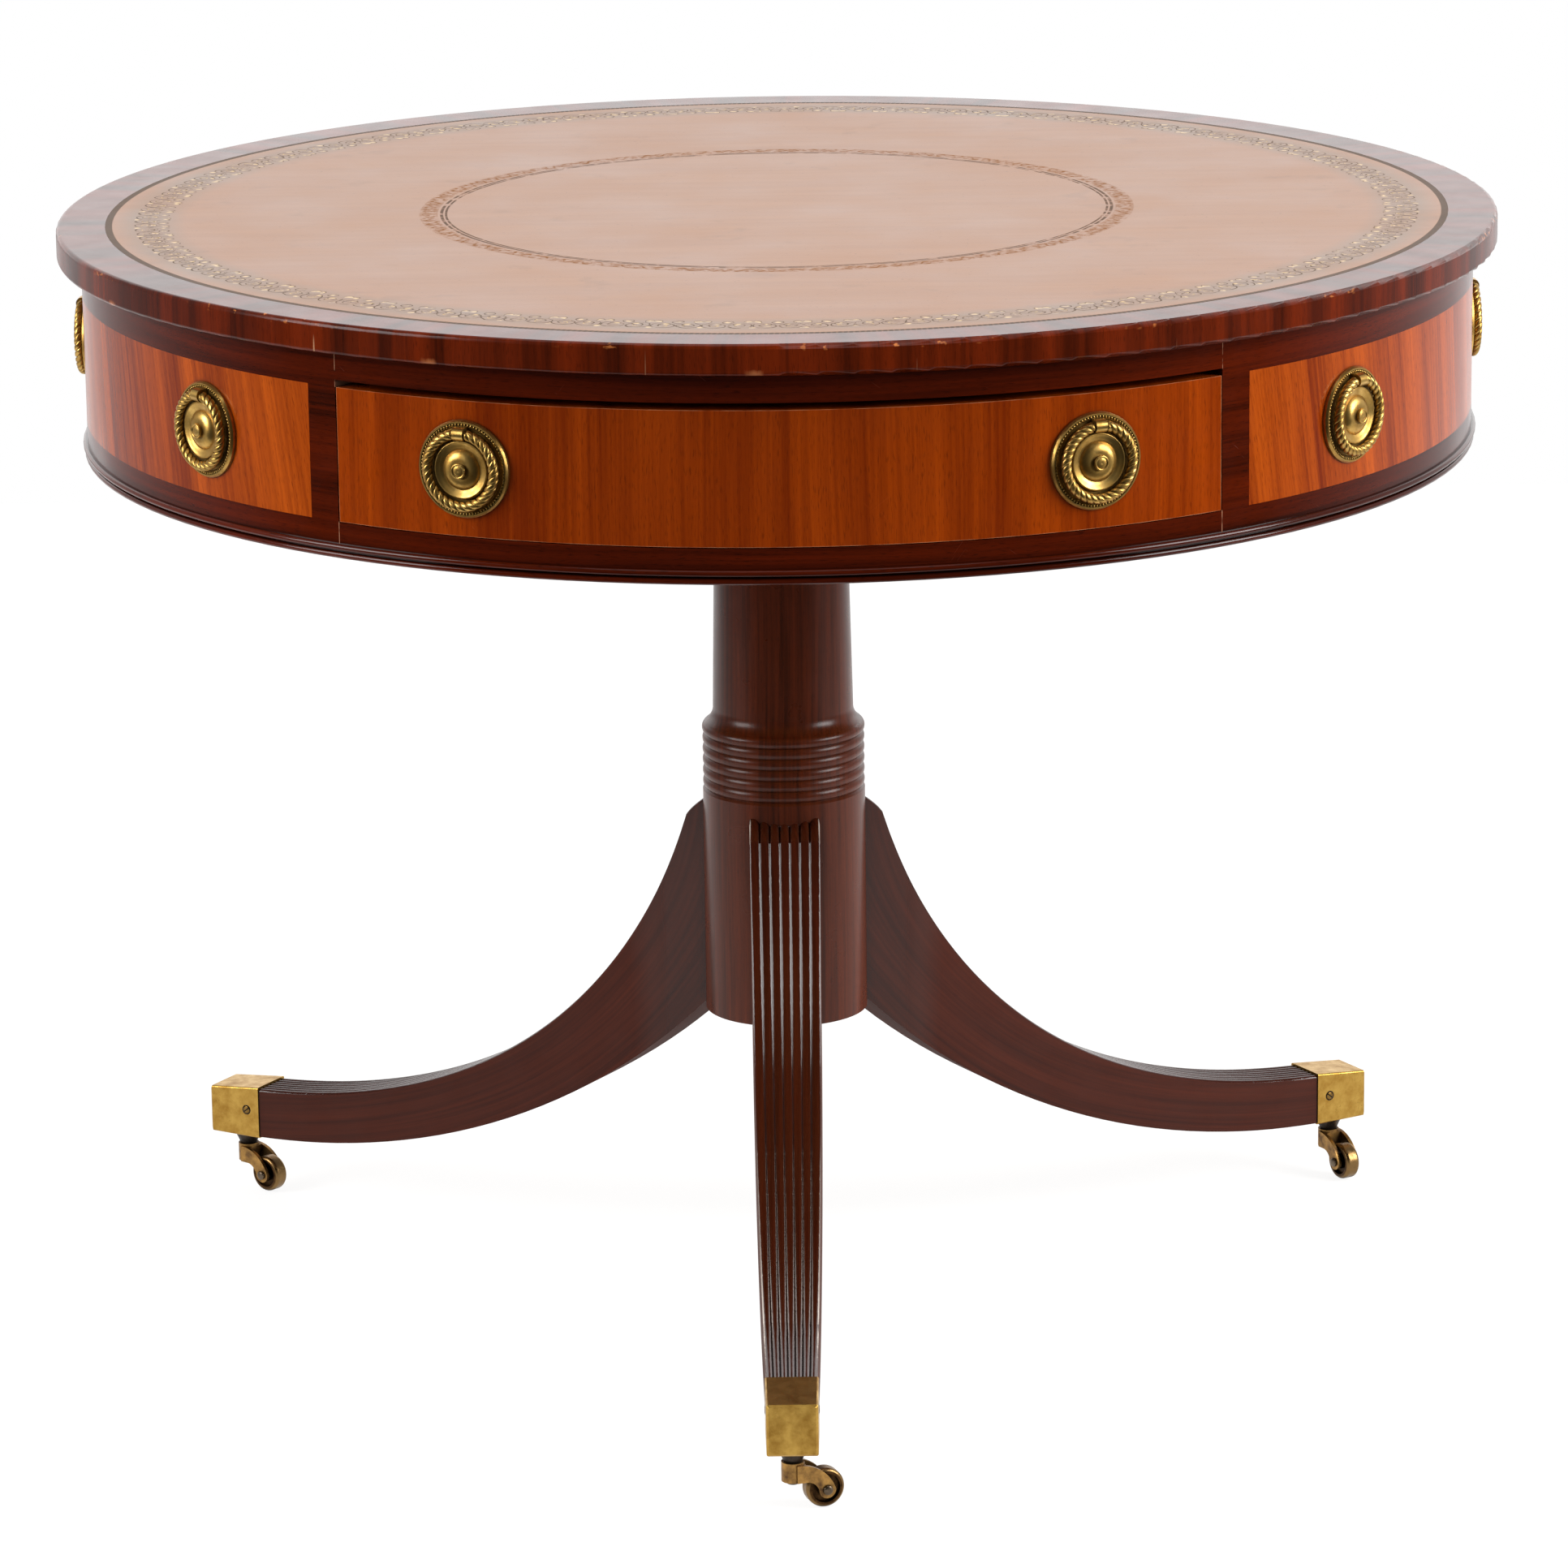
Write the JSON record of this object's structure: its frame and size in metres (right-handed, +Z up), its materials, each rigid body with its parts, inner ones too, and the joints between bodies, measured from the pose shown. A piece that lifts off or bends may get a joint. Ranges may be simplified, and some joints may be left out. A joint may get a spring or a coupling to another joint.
{
  "type": "drum table desk",
  "caption": "Round drum-shaped desk with a leather-lined top, a bowed drawer with ring pulls, a turned column, reeded sabre legs and brass casters.",
  "frame": {"origin": "on the floor, on the axis of the column", "axes": "+Z up; the drawer opens towards -Y; +X to the right as seen from the drawer"},
  "size_m": [0.97, 0.97, 0.762],
  "materials": {
    "mahogany": "satin lacquer over dark red-brown mahogany",
    "drawer_veneer": "satin lacquer over orange-brown mahogany veneer with upright grain",
    "inner_wood": "plain unpolished secondary wood",
    "leather": "aged brown leather with tooled borders",
    "brass": "antique brass, dark in the recesses",
    "dark_metal": "blackened metal",
    "steel": "plain steel"
  },
  "bodies": {
    "table": {"top_board": "mahogany", "front_upper_rail": "mahogany", "front_lower_rail": "mahogany", "base_moulding": "mahogany", "column": "mahogany", "leg_front": "mahogany", "leg_left": "mahogany", "leg_right": "mahogany", "frieze_section_1": "mahogany", "frieze_section_2": "mahogany", "frieze_section_3": "mahogany", "frieze_section_4": "mahogany", "dummy_veneer_1": "drawer_veneer", "dummy_veneer_2": "drawer_veneer", "dummy_veneer_3": "drawer_veneer", "dummy_veneer_4": "drawer_veneer", "bottom_board": "inner_wood", "drawer_runner_left": "inner_wood", "drawer_runner_right": "inner_wood", "drawer_kicker_left": "inner_wood", "drawer_kicker_right": "inner_wood", "drawer_stop": "inner_wood", "column_block": "inner_wood", "leather_top": "leather", "dummy_1_pull_plates": "brass", "dummy_2_pull_plates": "brass", "dummy_3_pull_plates": "brass", "dummy_4_pull_plates": "brass", "toe_cap_front": "brass", "toe_cap_left": "brass", "toe_cap_right": "brass", "caster_pivots": "dark_metal", "block_screws": "steel"},
    "drawer": {"drawer_front": "drawer_veneer", "drawer_side_left": "inner_wood", "drawer_side_right": "inner_wood", "drawer_bottom": "inner_wood", "drawer_back": "inner_wood", "drawer_pull_plates": "brass"},
    "drawer_ring_left": {"drawer_ring_left": "brass"},
    "drawer_ring_right": {"drawer_ring_right": "brass"},
    "dummy_1_ring_left": {"dummy_1_ring_left": "brass"},
    "dummy_1_ring_right": {"dummy_1_ring_right": "brass"},
    "dummy_2_ring_left": {"dummy_2_ring_left": "brass"},
    "dummy_2_ring_right": {"dummy_2_ring_right": "brass"},
    "dummy_3_ring_left": {"dummy_3_ring_left": "brass"},
    "dummy_3_ring_right": {"dummy_3_ring_right": "brass"},
    "dummy_4_ring_left": {"dummy_4_ring_left": "brass"},
    "dummy_4_ring_right": {"dummy_4_ring_right": "brass"},
    "caster_front": {"caster_horn_front": "brass"},
    "wheel_front": {"caster_wheel_front": "brass"},
    "caster_left": {"caster_horn_left": "brass"},
    "wheel_left": {"caster_wheel_left": "brass"},
    "caster_right": {"caster_horn_right": "brass"},
    "wheel_right": {"caster_wheel_right": "brass"}
  },
  "joints": [
    {"name": "drawer_slide", "type": "slide", "parent": "table", "child": "drawer", "axis": [0, -1, 0], "range_m": [0, 0.25]},
    {"name": "drawer_ring_left_swing", "type": "hinge", "parent": "drawer", "child": "drawer_ring_left", "pos_m": [-0.19765, -0.43171, 0.698], "axis": [-0.9092, 0.4163, 0], "range_deg": [0, 140]},
    {"name": "drawer_ring_right_swing", "type": "hinge", "parent": "drawer", "child": "drawer_ring_right", "pos_m": [0.19765, -0.43171, 0.698], "axis": [-0.9092, -0.4163, 0], "range_deg": [0, 140]},
    {"name": "dummy_1_ring_left_swing", "type": "hinge", "parent": "table", "child": "dummy_1_ring_left", "pos_m": [0.36925, -0.29848, 0.698], "axis": [-0.6286, -0.7777, 0], "range_deg": [0, 140]},
    {"name": "dummy_1_ring_right_swing", "type": "hinge", "parent": "table", "child": "dummy_1_ring_right", "pos_m": [0.47404, 0.02692, 0.698], "axis": [0.0567, -0.9984, 0], "range_deg": [0, 140]},
    {"name": "dummy_2_ring_left_swing", "type": "hinge", "parent": "table", "child": "dummy_2_ring_left", "pos_m": [0.39843, 0.25825, 0.698], "axis": [0.5439, -0.8391, 0], "range_deg": [0, 140]},
    {"name": "dummy_2_ring_right_swing", "type": "hinge", "parent": "table", "child": "dummy_2_ring_right", "pos_m": [0.12169, 0.45894, 0.698], "axis": [0.9666, -0.2563, 0], "range_deg": [0, 140]},
    {"name": "dummy_3_ring_left_swing", "type": "hinge", "parent": "table", "child": "dummy_3_ring_left", "pos_m": [-0.12169, 0.45894, 0.698], "axis": [0.9666, 0.2563, 0], "range_deg": [0, 140]},
    {"name": "dummy_3_ring_right_swing", "type": "hinge", "parent": "table", "child": "dummy_3_ring_right", "pos_m": [-0.39843, 0.25825, 0.698], "axis": [0.5439, 0.8391, 0], "range_deg": [0, 140]},
    {"name": "dummy_4_ring_left_swing", "type": "hinge", "parent": "table", "child": "dummy_4_ring_left", "pos_m": [-0.47404, 0.02692, 0.698], "axis": [0.0567, 0.9984, 0], "range_deg": [0, 140]},
    {"name": "dummy_4_ring_right_swing", "type": "hinge", "parent": "table", "child": "dummy_4_ring_right", "pos_m": [-0.36925, -0.29848, 0.698], "axis": [-0.6286, 0.7777, 0], "range_deg": [0, 140]},
    {"name": "caster_front_swivel", "type": "hinge", "parent": "table", "child": "caster_front", "pos_m": [0, -0.4583, 0.0197], "axis": [0, 0, 1], "continuous": true},
    {"name": "wheel_front_spin", "type": "hinge", "parent": "caster_front", "child": "wheel_front", "pos_m": [0.01926, -0.45129, 0.013], "axis": [-0.342, 0.9397, 0], "continuous": true},
    {"name": "caster_left_swivel", "type": "hinge", "parent": "table", "child": "caster_left", "pos_m": [-0.3969, 0.22915, 0.0197], "axis": [0, 0, 1], "continuous": true},
    {"name": "wheel_left_spin", "type": "hinge", "parent": "caster_left", "child": "wheel_left", "pos_m": [-0.3812, 0.21597, 0.013], "axis": [0.6428, 0.766, 0], "continuous": true},
    {"name": "caster_right_swivel", "type": "hinge", "parent": "table", "child": "caster_right", "pos_m": [0.3969, 0.22915, 0.0197], "axis": [0, 0, 1], "continuous": true},
    {"name": "wheel_right_spin", "type": "hinge", "parent": "caster_right", "child": "wheel_right", "pos_m": [0.40715, 0.2114, 0.013], "axis": [0.866, 0.5, 0], "continuous": true}
  ]
}
